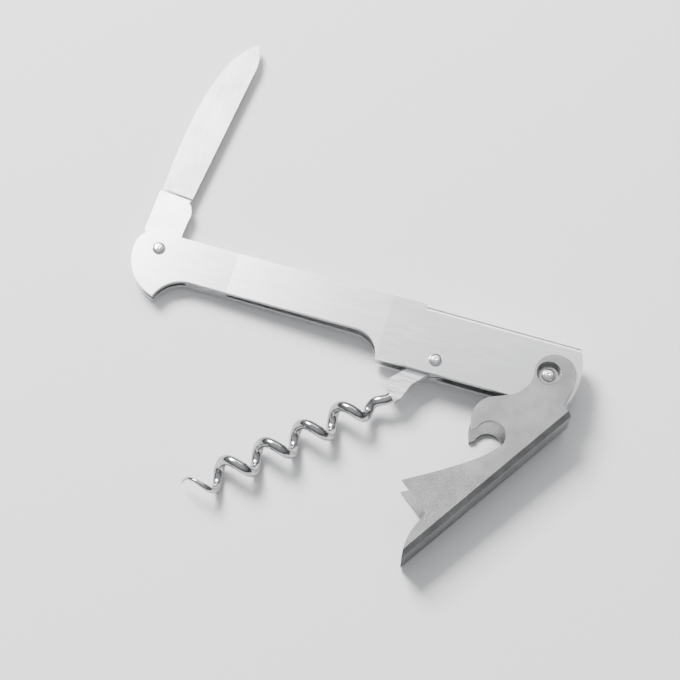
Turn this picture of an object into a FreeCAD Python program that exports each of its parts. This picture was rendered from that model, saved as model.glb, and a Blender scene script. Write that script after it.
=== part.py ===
import FreeCAD, Part
import math
import os

V = FreeCAD.Vector
os.makedirs("parts", exist_ok=True)

# Lever corkscrew, in millimetres. It is modelled with its knife rivet at X = Y = 0 and
# the middle of its thickness at Z = 0, then moved so that the middle of its base is the origin.
# X runs along the handle from the knife to the lever, and Y from its belly to its back.

# Sheet and wire
SHEET = 1.2                # handle and lever sheet
KNIFE_SHEET = 1.2
WIRE = 2.5
WORM_DIAMETER = 7.5        # outside the coils
WORM_PITCH = 9.8
TANG_THICKNESS = 2.2

# Handle
BACK_Y = 4.25              # straight back edge
BELLY_Y = -6.35            # belly of the thin stretch
WIDE_BELLY_Y = -12.25      # belly of the wide end
KNIFE_END = 6.0            # handle beyond the knife rivet
HORN_X, HORN_Y = 2.4, -12.1        # sharp horn beside the worm's point
WAIST_END_X = 10.0
WORM_PIVOT_X, WORM_PIVOT_Y = 71.5, -8.9
PIVOT_SPACING = 26.3       # worm rivet to lever rivet
LEVER_PIVOT_Y = -5.45
LEVER_END = 7.4            # handle beyond the lever rivet
SHOULDER_RADIUS = 6.5
SHOULDER_TO_WORM = 13.8    # shoulder's foot to the worm rivet
FOLD_RADIUS = 1.4
STOP_START_X = 8.7
STOP_END_X = 19.0          # where the knife stop ends and the plates start to part

# Knife, along its own length when folded
KNIFE_LENGTH = 62.0        # rivet to tip
TANG_LENGTH = 15.0         # rivet to the grind shoulder
KNIFE_BACK = 6.4           # tang's back edge above the rivet
KICK_Y = -3.2
EDGE_Y = -2.1              # cutting edge
EDGE_THICKNESS = 0.2
SPINE_THICKNESS = 1.0
TANG_RADIUS = 4.0

# Lever, along its own length from its rivet, with +T towards its spine
LEVER_LENGTH = 55.0
PLATE_LENGTH = 43.0
FACET = 1.2                # bevelled fold at each side of the spine
EAR_RADIUS = 4.95
EAR_S, EAR_T = -0.9, 1.2
SPINE_START = 3.0
HOOK_S, HOOK_T, HOOK_RADIUS = 20.5, 2.4, 3.5
DISH_RADIUS, DISH_FLOOR = 2.9, 2.2

# Rivets
KNIFE_RIVET = 1.1
WORM_RIVET = 1.3
LEVER_RIVET = 1.3
HEAD_RADIUS, HEAD_HEIGHT = 1.6, 0.75
SPACER_WALL = 0.9

# Fits
RUNNING = 0.05             # on each side of a turning fit
SIDE_PLAY = 0.15
KICK_PLAY = 0.25           # folded knife's kick to its stop
WORM_PLAY = 0.4            # coils to the lever's walls and spine
BELLY_PLAY = 0.9           # coils to the handle's belly when folded
SLOT_PLAY = 4.0            # knife tip to the end of its slot

# How far each piece stands open from folded
KNIFE_OPEN = 85.0
WORM_OPEN = 43.3
LEVER_OPEN = 57.1

# Places that follow from the sizes above
pinched_gap = KNIFE_SHEET + 2 * RUNNING
full_gap = WIRE + 2 * SIDE_PLAY
pinched_half = pinched_gap / 2 + SHEET
full_half = full_gap / 2 + SHEET
lever_pivot_x = WORM_PIVOT_X + PIVOT_SPACING
handle_end_x = lever_pivot_x + LEVER_END
shoulder_x = WORM_PIVOT_X - SHOULDER_TO_WORM
fold_x = KNIFE_LENGTH + SLOT_PLAY
worm_radius = WORM_DIAMETER / 2
worm_axis_y = BELLY_Y - BELLY_PLAY - worm_radius
worm_offset = WORM_PIVOT_Y - worm_axis_y
lever_half_gap = worm_radius + WORM_PLAY
lever_half = lever_half_gap + SHEET
spine_in = LEVER_PIVOT_Y - worm_axis_y + worm_radius + WORM_PLAY
spine_out = spine_in + SHEET
FAR = 200.0                # longer than anything here


def outline(start, steps):
    """A flat face. Each step is one point (a line to it), two (an arc through the
    first to the second) or more (a smooth curve through them all)."""
    edges = []
    here = V(start[0], start[1], 0)
    for step in steps:
        points = [V(x, y, 0) for x, y in step]
        if len(points) == 1:
            edges.append(Part.LineSegment(here, points[0]).toShape())
        elif len(points) == 2:
            edges.append(Part.Arc(here, points[0], points[1]).toShape())
        else:
            curve = Part.BSplineCurve()
            curve.interpolate([here] + points)
            edges.append(curve.toShape())
        here = points[-1]
    return Part.Face(Part.Wire(edges))


def slab(face, low, high):
    """A flat face turned into a solid between two heights."""
    solid = face.extrude(V(0, 0, high - low))
    solid.translate(V(0, 0, low))
    return solid


def across(points, low, high):
    """A polygon of (X, Z) points made solid from Y = low to Y = high."""
    wire = Part.makePolygon([V(x, low, z) for x, z in points + points[:1]])
    return Part.Face(wire).extrude(V(0, high - low, 0))


def along(points, low, high):
    """A polygon of (Y, Z) points made solid from X = low to X = high."""
    wire = Part.makePolygon([V(low, y, z) for y, z in points + points[:1]])
    return Part.Face(wire).extrude(V(high - low, 0, 0))


def rod(x, y, radius, low, high):
    return Part.makeCylinder(radius, high - low, V(x, y, low))


def turned(points, x, y):
    """A solid of revolution about the vertical through (x, y), from (radius, Z) points."""
    wire = Part.makePolygon([V(x + r, y, z) for r, z in points + points[:1]])
    return Part.Face(wire).revolve(V(x, y, 0), V(0, 0, 1), 360)


def arc_height(chord, rise):
    """Radius of an arc that starts level and falls by rise over chord."""
    return (chord * chord + rise * rise) / (2 * rise)


def handle_plan():
    """Outline of the handle's plates, with the horn, waist, shoulder and rounded ends."""
    waist = arc_height(WAIST_END_X - HORN_X, BELLY_Y - HORN_Y)
    waist_x = (HORN_X + WAIST_END_X) / 2
    waist_y = BELLY_Y - waist + math.sqrt(waist ** 2 - (WAIST_END_X - waist_x) ** 2)
    fall = BELLY_Y - WIDE_BELLY_Y
    shoulder = arc_height(SHOULDER_RADIUS, fall)
    shoulder_start = shoulder_x - SHOULDER_RADIUS
    shoulder_mid = shoulder_start + 0.7 * SHOULDER_RADIUS
    shoulder_y = BELLY_Y - shoulder + math.sqrt(shoulder ** 2 - (0.7 * SHOULDER_RADIUS) ** 2)
    middle_y = (BACK_Y + WIDE_BELLY_Y) / 2
    return outline((-2.2, BACK_Y), [
        [(-4.9, 2.6), (-KNIFE_END, -0.8)],
        [(-4.2, -7.3), (HORN_X, HORN_Y)],
        [(waist_x, waist_y), (WAIST_END_X, BELLY_Y)],
        [(shoulder_start, BELLY_Y)],
        [(shoulder_mid, shoulder_y), (shoulder_x, WIDE_BELLY_Y)],
        [(handle_end_x - 2.2, WIDE_BELLY_Y)],
        [(handle_end_x, middle_y), (handle_end_x - 1.8, BACK_Y)],
        [(-2.2, BACK_Y)],
    ])


def thickness(half_pinched, half_full, low, high):
    """Side view of the handle: close together at the knife, parting towards the shoulder."""
    upper = [(-FAR, half_pinched), (STOP_END_X, half_pinched), (shoulder_x, half_full), (FAR, half_full)]
    lower = [(x, -z) for x, z in reversed(upper)]
    return across(upper + lower, low, high)


def handle_channel():
    """One folded sheet: two plates, joined by the fold along the back of the wide end."""
    body = slab(handle_plan(), -FAR / 2, FAR / 2).common(thickness(pinched_half, full_half, -FAR, FAR))
    for side in (1, -1):
        corner = full_half - FOLD_RADIUS
        block = Part.makeBox(FAR, FOLD_RADIUS * 2, FOLD_RADIUS * 2, V(fold_x, BACK_Y - FOLD_RADIUS,
                             corner if side > 0 else -corner - FOLD_RADIUS * 2))
        round_bar = Part.makeCylinder(FOLD_RADIUS, FAR, V(fold_x, BACK_Y - FOLD_RADIUS, side * corner), V(1, 0, 0))
        body = body.cut(block.cut(round_bar))
    gap = thickness(pinched_gap / 2, full_gap / 2, -FAR, FAR)
    fold = Part.makeBox(FAR, FAR, FAR, V(fold_x, BACK_Y - SHEET, -FAR / 2))
    body = body.cut(gap.cut(fold))
    body = body.cut(rod(0, 0, KNIFE_RIVET, -FAR, FAR))
    body = body.cut(rod(WORM_PIVOT_X, WORM_PIVOT_Y, WORM_RIVET, -FAR, FAR))
    return body.cut(rod(lever_pivot_x, LEVER_PIVOT_Y, LEVER_RIVET, -FAR, FAR))


def knife_stop():
    """Filler between the plates behind the waist, which the knife's kick rests on."""
    block = Part.makeBox(STOP_END_X - STOP_START_X, FAR, pinched_gap,
                         V(STOP_START_X, KICK_Y - KICK_PLAY - FAR, -pinched_gap / 2))
    return block.common(slab(handle_plan(), -FAR / 2, FAR / 2))


def knife_blade():
    """Folded knife: flat tang with a kick, then a blade ground from back to edge."""
    blade = KNIFE_LENGTH - TANG_LENGTH
    start = TANG_LENGTH
    tip = (KNIFE_LENGTH, 0.1)
    plan = outline((3.9, 5.7), [
        [(TANG_LENGTH - 0.3, KNIFE_BACK)],
        [(TANG_LENGTH + 0.3, KNIFE_BACK - 0.35)],
        [(start + 0.25 * blade, KNIFE_BACK + 0.4), (start + 0.5 * blade, KNIFE_BACK + 0.6),
         (start + 0.7 * blade, KNIFE_BACK - 0.25), (start + 0.87 * blade, KNIFE_BACK - 2.3), tip],
        [(start + 0.94 * blade, -1.35), (start + 0.82 * blade, EDGE_Y)],
        [(TANG_LENGTH + 0.4, EDGE_Y + 0.3)],
        [(TANG_LENGTH - 0.6, -1.5)],
        [(TANG_LENGTH - 2.6, -3.0), (TANG_LENGTH - 5.0, KICK_Y)],
        [(1.6, -math.sqrt(TANG_RADIUS ** 2 - 1.6 ** 2))],
        [(-TANG_RADIUS, 0), (1.6, math.sqrt(TANG_RADIUS ** 2 - 1.6 ** 2))],
        [(3.9, 5.7)],
    ])
    half = KNIFE_SHEET / 2
    knife = slab(plan, -half, half)
    plunge = 0.8
    for side in (1, -1):
        sections = []
        for x, edge_z, back_z in ((TANG_LENGTH, half, half),
                                  (TANG_LENGTH + plunge, EDGE_THICKNESS / 2, SPINE_THICKNESS / 2),
                                  (KNIFE_LENGTH + 5, EDGE_THICKNESS / 2, SPINE_THICKNESS / 2)):
            points = [(EDGE_Y - 1, edge_z), (KNIFE_BACK + 1, back_z), (KNIFE_BACK + 1, 2), (EDGE_Y - 1, 2)]
            sections.append(Part.makePolygon([V(x, y, side * z) for y, z in points + points[:1]]))
        knife = knife.cut(Part.makeLoft(sections, True, True))
    return knife.cut(rod(0, 0, KNIFE_RIVET + RUNNING, -FAR, FAR))


def worm_centre(u):
    """Middle of the wire at u from the rivet: (offset from the rivet, height)."""
    coil = worm_radius - WIRE / 2
    phase = 2 * math.pi * (u - COIL_START) / WORM_PITCH
    coiled = (worm_offset + coil * math.cos(phase), coil * math.sin(phase))
    if u >= COIL_START + WORM_PITCH / 4:
        return coiled
    if u <= TRANSITION_START:
        return (SHANK_OFFSET, 0.0)
    share = (u - TRANSITION_START) / (COIL_START + WORM_PITCH / 4 - TRANSITION_START)
    ease = share * share * (3 - 2 * share)
    return (SHANK_OFFSET + (coiled[0] - SHANK_OFFSET) * ease, coiled[1] * ease)


SHANK_OFFSET = 2.8         # straight wire beyond the tang
SHANK_START = 13.1
TRANSITION_START = 13.6
COIL_START = 20.8
WORM_TIP_X = 6.0           # the folded worm's point, behind the horn
WORM_TAPER = 9.0
POINT_SHARE = 0.12         # the point's width over the wire's


def worm_section(u, radius):
    """A circle of wire square to the worm's line at u."""
    v, z = worm_centre(u)
    ahead = worm_centre(u + 0.01)
    tangent = V(-0.01, -(ahead[0] - v), ahead[1] - z)
    return Part.Wire(Part.Circle(V(-u, -v, z), tangent, radius).toShape())


def worm_line(low, high, count):
    """Smooth path through the middle of the wire between two distances from the rivet."""
    points = []
    for i in range(count + 1):
        u = low + (high - low) * i / count
        v, z = worm_centre(u)
        points.append(V(-u, -v, z))
    curve = Part.BSplineCurve()
    curve.interpolate(points)
    return Part.Wire(curve.toShape())


def worm_tang():
    """Flat tang of the folded worm. Its eye turns on the rivet and its end holds the wire."""
    plan = outline((-13.4, 1.2), [
        [(-2.2, 1.9)],
        [(2.9, 0), (-2.2, -1.9)],
        [(-7.6, -2.4)],
        [(-11.3, -SHANK_OFFSET - 1.5)],
        [(-SHANK_START, -SHANK_OFFSET - 1.55)],
        [(-SHANK_START, -1.2)],
        [(-13.4, 1.2)],
    ])
    body = slab(plan, -TANG_THICKNESS / 2, TANG_THICKNESS / 2)
    body = body.cut(rod(0, 0, WORM_RIVET + RUNNING, -FAR, FAR))
    body.translate(V(WORM_PIVOT_X, WORM_PIVOT_Y, 0))
    return body


def worm_wire():
    """Folded worm: a short straight stretch, then a right-handed coil that ends in a point."""
    length = WORM_PIVOT_X - WORM_TIP_X
    taper_start = length - WORM_TAPER
    steps = int(16 * (taper_start - SHANK_START) / WORM_PITCH)
    line = worm_line(SHANK_START, taper_start, steps)
    body = line.makePipeShell([worm_section(SHANK_START, WIRE / 2)], True, False)
    nose = worm_line(taper_start, length, 14)
    point = nose.makePipeShell([worm_section(taper_start, WIRE / 2),
                                worm_section(length, WIRE / 2 * POINT_SHARE)], True, False)
    wire = Part.makeCompound([body, point])
    wire.translate(V(WORM_PIVOT_X, WORM_PIVOT_Y, 0))
    return wire


def lever_plan():
    """Outline of the lever's sides, from its ear past the crown-cap hook to the foot."""
    beak = (HOOK_S + 2.5, HOOK_T - 3.8)
    lip = (HOOK_S - 0.3, HOOK_T + HOOK_RADIUS)
    hook_in = (HOOK_S + 1.2, HOOK_T - math.sqrt(HOOK_RADIUS ** 2 - 1.2 ** 2))
    ear_out = (EAR_S + 3.6, EAR_T - math.sqrt(EAR_RADIUS ** 2 - 3.6 ** 2))
    ear_in = (EAR_S - 1.7, EAR_T + math.sqrt(EAR_RADIUS ** 2 - 1.7 ** 2))
    return outline(ear_in, [
        [(EAR_S - EAR_RADIUS, EAR_T), (EAR_S - 1.5, EAR_T - math.sqrt(EAR_RADIUS ** 2 - 1.5 ** 2))],
        [(EAR_S + 1.2, EAR_T - math.sqrt(EAR_RADIUS ** 2 - 1.2 ** 2)), ear_out],
        [(5.6, -1.0), (8.9, -1.2), (11.6, -2.6), (14.3, -4.5)],
        [(18.0, -5.1), (21.2, -3.5)],
        [beak],
        [hook_in],
        [(HOOK_S - HOOK_RADIUS, HOOK_T), lip],
        [(24.6, 5.2), (30.6, 3.1), (PLATE_LENGTH - 6.4, 0.5), (PLATE_LENGTH, -2.6)],
        [(PLATE_LENGTH + 0.7, 5.2)],
        [(PLATE_LENGTH + 1.0, 6.4), (PLATE_LENGTH + 2.2, 7.0)],
        [(PLATE_LENGTH + 7.5, 8.1), (LEVER_LENGTH, spine_out)],
        [(SPINE_START, spine_out)],
        [(SPINE_START - 0.2, 8.0)],
        [ear_in],
    ])


def lever():
    """Folded-sheet lever: two sides and a bevelled spine, with ears dished down to the handle."""
    outer = [(FAR, lever_half), (-spine_out + FACET, lever_half), (-spine_out, lever_half - FACET)]
    outer += [(y, -z) for y, z in reversed(outer)]
    small = FACET * 0.75
    inner = [(FAR, lever_half_gap), (-spine_in + small, lever_half_gap), (-spine_in, lever_half_gap - small)]
    inner += [(y, -z) for y, z in reversed(inner)]
    channel = along(outer, -FAR, FAR).cut(along(inner, -FAR, FAR))
    plan = slab(lever_plan(), -FAR / 2, FAR / 2)
    plan = plan.mirror(V(0, 0, 0), V(1, 0, 0)).mirror(V(0, 0, 0), V(0, 1, 0))
    body = channel.common(plan)
    touch = full_half + RUNNING
    floor = touch + SHEET
    for side in (1, -1):
        boss = [(0, touch), (DISH_FLOOR + 0.7, touch), (DISH_RADIUS + 0.4, lever_half_gap + 0.1), (0, lever_half_gap + 0.1)]
        dish = [(0, floor), (DISH_FLOOR, floor), (DISH_RADIUS, lever_half), (DISH_RADIUS, FAR), (0, FAR)]
        body = body.fuse(turned([(r, side * z) for r, z in boss], 0, 0))
        body = body.cut(turned([(r, side * z) for r, z in dish], 0, 0))
    body = body.cut(rod(0, 0, LEVER_RIVET + RUNNING, -FAR, FAR))
    body.translate(V(lever_pivot_x, LEVER_PIVOT_Y, 0))
    return body


def rivet(x, y, radius, seat):
    """A rivet with a domed, slightly dimpled head on each seat."""
    edge = HEAD_RADIUS
    top = seat + HEAD_HEIGHT
    upper = [(0, top - 0.1), (0.35, top), (edge * 0.6, top - 0.08), (edge * 0.9, seat + HEAD_HEIGHT * 0.55), (edge, seat)]
    profile = upper + [(radius, seat), (radius, -seat)] + [(r, -z) for r, z in reversed(upper)]
    return turned(profile, x, y)


def lever_spacer():
    """Tube on the lever's rivet that keeps the two plates apart."""
    tube = rod(lever_pivot_x, LEVER_PIVOT_Y, LEVER_RIVET + SPACER_WALL, -full_gap / 2, full_gap / 2)
    return tube.cut(rod(lever_pivot_x, LEVER_PIVOT_Y, LEVER_RIVET, -FAR, FAR))


def opened(solid, x, y, angle):
    solid.rotate(V(x, y, 0), V(0, 0, 1), angle)
    return solid


def build():
    pieces = {
        "handle_channel": handle_channel(),
        "knife_stop": knife_stop(),
        "knife_blade": opened(knife_blade(), 0, 0, KNIFE_OPEN),
        "knife_rivet": rivet(0, 0, KNIFE_RIVET, pinched_half),
        "worm_tang": opened(worm_tang(), WORM_PIVOT_X, WORM_PIVOT_Y, WORM_OPEN),
        "worm_wire": opened(worm_wire(), WORM_PIVOT_X, WORM_PIVOT_Y, WORM_OPEN),
        "worm_rivet": rivet(WORM_PIVOT_X, WORM_PIVOT_Y, WORM_RIVET, full_half),
        "lever": opened(lever(), lever_pivot_x, LEVER_PIVOT_Y, LEVER_OPEN),
        "lever_rivet": rivet(lever_pivot_x, LEVER_PIVOT_Y, LEVER_RIVET, full_half + RUNNING + SHEET + RUNNING),
        "lever_spacer": lever_spacer(),
    }
    box = Part.makeCompound(list(pieces.values())).optimalBoundingBox(False, False)
    origin = V((box.XMin + box.XMax) / 2, (box.YMin + box.YMax) / 2, box.ZMin)
    for shape in pieces.values():
        shape.translate(-origin)
    return pieces, origin


pieces, origin = build()
for node, shape in pieces.items():
    if shape.ShapeType == "Compound" and len(shape.Solids) == 1:
        shape = shape.Solids[0]
    shape.exportStep(f"parts/{node}.step")
    print(node, shape.isValid(), len(shape.Solids), round(shape.Volume, 1))
print("origin", [round(c, 3) for c in origin])
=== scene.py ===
import math

import bpy
from mathutils import Matrix, Vector


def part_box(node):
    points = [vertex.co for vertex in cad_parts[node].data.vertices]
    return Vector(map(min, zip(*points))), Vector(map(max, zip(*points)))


# Camera: angles in degrees, lengths in metres, the sensor in millimetres
FRAME_PIXELS = 680
FOCAL_PIXELS = 1775
SENSOR = 36.0
TILT = 21.98               # from straight down
AZIMUTH = 16.63
ROLL = 0.15
DISTANCE = 0.4204
LOOK_AT = Vector((-0.0013, -0.0116, 0.00535))
CLIP_START = 0.01

# Floor: a wide sheet of paper that passes just under the middle of the lever's side
FLOOR_SIZE = 3.0
FLOOR_GAP = 0.0001
PAPER_DARK = (0.80, 0.80, 0.805)
PAPER_PALE = (0.815, 0.815, 0.82)
PAPER_GRAIN = 700
PAPER_ROUGHNESS = 0.9
PAPER_SPECULAR = 0.1

# The part of a noise's range that its tones and roughness are spread over
NOISE_LOW, NOISE_HIGH = 0.3, 0.7

# The pits on the lever, in waves per metre
PIT_SCALE = 2600

# The room is dark near the floor and pale overhead. The heights are on a unit sphere.
ROOM_TINT = (0.95, 0.97, 1.0, 1)
ROOM_FOOT, ROOM_TOP = 0.1, 0.95
ROOM_LOW = 0.06
ROOM_HIGH = 0.8

# Lights: places and sizes in metres, powers in watts
LIGHT_TARGET = (0, 0, 0)
KEY_PLACE = (-0.55, 0.45, 0.75)
KEY_SIZE = (0.4, 0.4)
KEY_POWER = 31.0
TOP_PLACE = (0.05, 0.75, 0.9)
TOP_SIZE = (1.2, 0.5)
TOP_POWER = 5.0


def grey(value):
    """A grey with a trace of blue, as steel has."""
    return (value, value, value * 1.008)


class Nodes:
    """A material's node tree, with short calls for the nodes that the materials share."""

    def __init__(self, name, metallic=1.0):
        self.material = bpy.data.materials.new(name)
        self.material.use_nodes = True
        self.tree = self.material.node_tree
        self.shader = self.tree.nodes["Principled BSDF"]
        self.shader.inputs["Metallic"].default_value = metallic
        self.place = self.tree.nodes.new("ShaderNodeTexCoord").outputs["Object"]

    def link(self, source, target):
        self.tree.links.new(source, target)

    def mapped(self, stretch, turn):
        """Object coordinates, squeezed along each axis and turned by degrees about Z."""
        node = self.tree.nodes.new("ShaderNodeMapping")
        node.inputs["Scale"].default_value = stretch
        node.inputs["Rotation"].default_value = (0, 0, math.radians(turn))
        self.link(self.place, node.inputs["Vector"])
        return node.outputs["Vector"]

    def noise(self, scale, detail, rough=0.6, stretch=(1, 1, 1), turn=0.0):
        """Noise of so many waves per metre, before any stretch."""
        vector = self.mapped(stretch, turn)
        node = self.tree.nodes.new("ShaderNodeTexNoise")
        node.inputs["Scale"].default_value = scale
        node.inputs["Detail"].default_value = detail
        node.inputs["Roughness"].default_value = rough
        self.link(vector, node.inputs["Vector"])
        return node.outputs["Fac"]

    def ramp(self, fac, low, high):
        node = self.tree.nodes.new("ShaderNodeValToRGB")
        node.color_ramp.elements[0].position = NOISE_LOW
        node.color_ramp.elements[1].position = NOISE_HIGH
        node.color_ramp.elements[0].color = (*low, 1)
        node.color_ramp.elements[1].color = (*high, 1)
        self.link(fac, node.inputs["Fac"])
        return node.outputs["Color"]

    def spread(self, fac, low, high):
        node = self.tree.nodes.new("ShaderNodeMapRange")
        node.inputs["From Min"].default_value = NOISE_LOW
        node.inputs["From Max"].default_value = NOISE_HIGH
        node.inputs["To Min"].default_value = low
        node.inputs["To Max"].default_value = high
        self.link(fac, node.inputs["Value"])
        return node.outputs["Result"]

    def bump(self, height, strength, depth):
        node = self.tree.nodes.new("ShaderNodeBump")
        node.inputs["Strength"].default_value = strength
        node.inputs["Distance"].default_value = depth
        self.link(height, node.inputs["Height"])
        self.link(node.outputs["Normal"], self.shader.inputs["Normal"])

    def surface(self, tone, greys, marks, roughness, strength, depth):
        """One noise sets the tone. Another sets the roughness and a bump, depth in metres."""
        dark, pale = (grey(value) for value in greys)
        self.link(self.ramp(tone, dark, pale), self.shader.inputs["Base Color"])
        self.link(self.spread(marks, *roughness), self.shader.inputs["Roughness"])
        self.bump(marks, strength, depth)
        return self.material


def plated_sheet():
    """Bright plate on the handle: nearly flat, with a faint wave and hairline wipe marks."""
    steel = Nodes("bright_plate")
    wave = steel.noise(45, detail=2.0, stretch=(1, 2.2, 1))
    wipe = steel.noise(160, detail=5.0, stretch=(1, 30, 1), turn=8)
    return steel.surface(wave, greys=(0.86, 0.93), marks=wipe, roughness=(0.22, 0.27),
                         strength=0.02, depth=0.00004)


def ground_blade():
    """Knife steel with fine grinding lines across the blade and clouded patches."""
    steel = Nodes("ground_blade")
    lines = steel.noise(130, detail=6.0, stretch=(30, 1.2, 1), turn=-5)
    cloud = steel.noise(110, detail=3.0)
    return steel.surface(cloud, greys=(0.56, 0.72), marks=lines, roughness=(0.26, 0.44),
                         strength=0.12, depth=0.00005)


def tumbled_sheet():
    """Lever steel: tumbled before plating, so it is satin with fine pits and soft blotches."""
    steel = Nodes("tumbled_plate")
    blotch = steel.noise(140, detail=4.0)
    pits = steel.noise(PIT_SCALE, detail=3.0, rough=0.7)
    return steel.surface(blotch, greys=(0.21, 0.33), marks=pits, roughness=(0.3, 0.46),
                         strength=0.5, depth=0.00008)


def polished_wire():
    """Worm wire: bright, with a little wear and fine marks."""
    steel = Nodes("polished_wire")
    wear = steel.noise(420, detail=4.0)
    fine = steel.noise(2400, detail=2.0)
    return steel.surface(wear, greys=(0.34, 0.52), marks=fine, roughness=(0.12, 0.22),
                         strength=0.04, depth=0.00003)


def flat_tang():
    """Forged and plated flat of the worm's tang."""
    steel = Nodes("forged_flat")
    lines = steel.noise(120, detail=4.0, stretch=(2, 14, 1), turn=43)
    return steel.surface(lines, greys=(0.66, 0.82), marks=lines, roughness=(0.24, 0.36),
                         strength=0.1, depth=0.00005)


def rivet_steel():
    """Rivet heads, rounded by the closing tool, with small tool marks."""
    steel = Nodes("rivet_steel")
    marks = steel.noise(1500, detail=3.0)
    return steel.surface(marks, greys=(0.5, 0.74), marks=marks, roughness=(0.2, 0.32),
                         strength=0.15, depth=0.00005)


def inner_steel():
    """Plain steel of the pieces between the plates."""
    steel = Nodes("inner_steel")
    stain = steel.noise(600, detail=4.0)
    return steel.surface(stain, greys=(0.45, 0.62), marks=stain, roughness=(0.35, 0.5),
                         strength=0.1, depth=0.00005)


def paper_floor():
    """Smooth white studio sheet."""
    paper = Nodes("paper", metallic=0.0)
    grain = paper.noise(PAPER_GRAIN, detail=3.0)
    paper.link(paper.ramp(grain, PAPER_DARK, PAPER_PALE), paper.shader.inputs["Base Color"])
    paper.shader.inputs["Roughness"].default_value = PAPER_ROUGHNESS
    paper.shader.inputs["Specular IOR Level"].default_value = PAPER_SPECULAR
    return paper.material


def dress(frame):
    """Gives every CAD node its steel. The rivets share one."""
    looks = {
        "handle_channel": plated_sheet(),
        "knife_blade": ground_blade(),
        "lever": tumbled_sheet(),
        "worm_wire": polished_wire(),
        "worm_tang": flat_tang(),
        "knife_stop": inner_steel(),
        "lever_spacer": inner_steel(),
    }
    rivets = rivet_steel()
    for name, node in frame["nodes"].items():
        steel = looks.get(name, rivets)
        for slot in node.material_slots:
            slot.material = steel
        if not node.material_slots:
            node.data.materials.append(steel)


def lean():
    """Slope from the lowest height of the lever to that of the worm's coils.

    It runs between the middles of their boxes, so the lever's foot, the far coils and the
    knife rivet's lower head go slightly below the floor.
    """
    lever_low, lever_high = (Vector(c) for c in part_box("lever"))
    worm_low, worm_high = (Vector(c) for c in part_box("worm_wire"))
    span = (lever_low.x + lever_high.x) / 2 - (worm_low.x + worm_high.x) / 2
    return math.atan2(worm_low.z - lever_low.z, span)


def make_floor():
    low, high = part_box("lever")
    half = FLOOR_SIZE / 2
    corners = [(-half, -half, 0), (half, -half, 0), (half, half, 0), (-half, half, 0)]
    mesh = bpy.data.meshes.new("floor")
    mesh.from_pydata(corners, [], [(0, 1, 2, 3)])
    floor = bpy.data.objects.new("floor", mesh)
    floor.location = ((low[0] + high[0]) / 2, 0, low[2] - FLOOR_GAP)
    floor.rotation_euler = (0, lean(), 0)
    bpy.context.scene.collection.objects.link(floor)
    mesh.materials.append(paper_floor())


def make_room():
    """A world whose strength rises with height."""
    world = bpy.data.worlds.new("room")
    world.use_nodes = True
    tree = world.node_tree
    background = tree.nodes["Background"]
    background.inputs["Color"].default_value = ROOM_TINT
    place = tree.nodes.new("ShaderNodeTexCoord").outputs["Generated"]
    split = tree.nodes.new("ShaderNodeSeparateXYZ")
    height = tree.nodes.new("ShaderNodeMapRange")
    height.inputs["From Min"].default_value = ROOM_FOOT
    height.inputs["From Max"].default_value = ROOM_TOP
    height.inputs["To Min"].default_value = ROOM_LOW
    height.inputs["To Max"].default_value = ROOM_HIGH
    tree.links.new(place, split.inputs["Vector"])
    tree.links.new(split.outputs["Z"], height.inputs["Value"])
    tree.links.new(height.outputs["Result"], background.inputs["Strength"])
    bpy.context.scene.world = world


def soft_box(name, place, size, power):
    lamp = bpy.data.lights.new(name, "AREA")
    lamp.shape = "RECTANGLE"
    lamp.size, lamp.size_y = size
    lamp.energy = power
    light = bpy.data.objects.new(name, lamp)
    light.location = place
    aim = Vector(LIGHT_TARGET) - Vector(place)
    light.rotation_euler = aim.to_track_quat("-Z", "Y").to_euler()
    bpy.context.scene.collection.objects.link(light)


def make_light():
    """A soft key from the upper left, a weak wide box beyond the part, and the room."""
    make_room()
    soft_box("key", KEY_PLACE, KEY_SIZE, KEY_POWER)
    soft_box("top", TOP_PLACE, TOP_SIZE, TOP_POWER)


def make_camera():
    tilt, azimuth, roll = (math.radians(a) for a in (TILT, AZIMUTH, ROLL))
    back = Vector((math.sin(azimuth) * math.sin(tilt),
                   -math.cos(azimuth) * math.sin(tilt),
                   math.cos(tilt)))
    side = Vector((math.cos(azimuth), math.sin(azimuth), 0))
    up = back.cross(side)
    right = side * math.cos(roll) + up * math.sin(roll)
    above = up * math.cos(roll) - side * math.sin(roll)
    turn = Matrix((right, above, back)).transposed()
    lens = bpy.data.cameras.new("camera")
    lens.sensor_width = SENSOR
    lens.lens = SENSOR * FOCAL_PIXELS / FRAME_PIXELS
    lens.clip_start = CLIP_START
    camera = bpy.data.objects.new("camera", lens)
    camera.matrix_world = Matrix.Translation(LOOK_AT + back * DISTANCE) @ turn.to_4x4()
    bpy.context.scene.collection.objects.link(camera)
    bpy.context.scene.camera = camera


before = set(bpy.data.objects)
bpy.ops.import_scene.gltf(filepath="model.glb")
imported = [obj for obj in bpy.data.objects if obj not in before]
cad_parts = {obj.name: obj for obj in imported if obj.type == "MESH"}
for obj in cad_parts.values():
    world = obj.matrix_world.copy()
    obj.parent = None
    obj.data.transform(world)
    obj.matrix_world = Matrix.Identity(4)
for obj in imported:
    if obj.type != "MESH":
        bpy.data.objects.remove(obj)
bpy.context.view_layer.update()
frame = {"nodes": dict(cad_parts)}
dress(frame)
make_floor()
make_light()
make_camera()
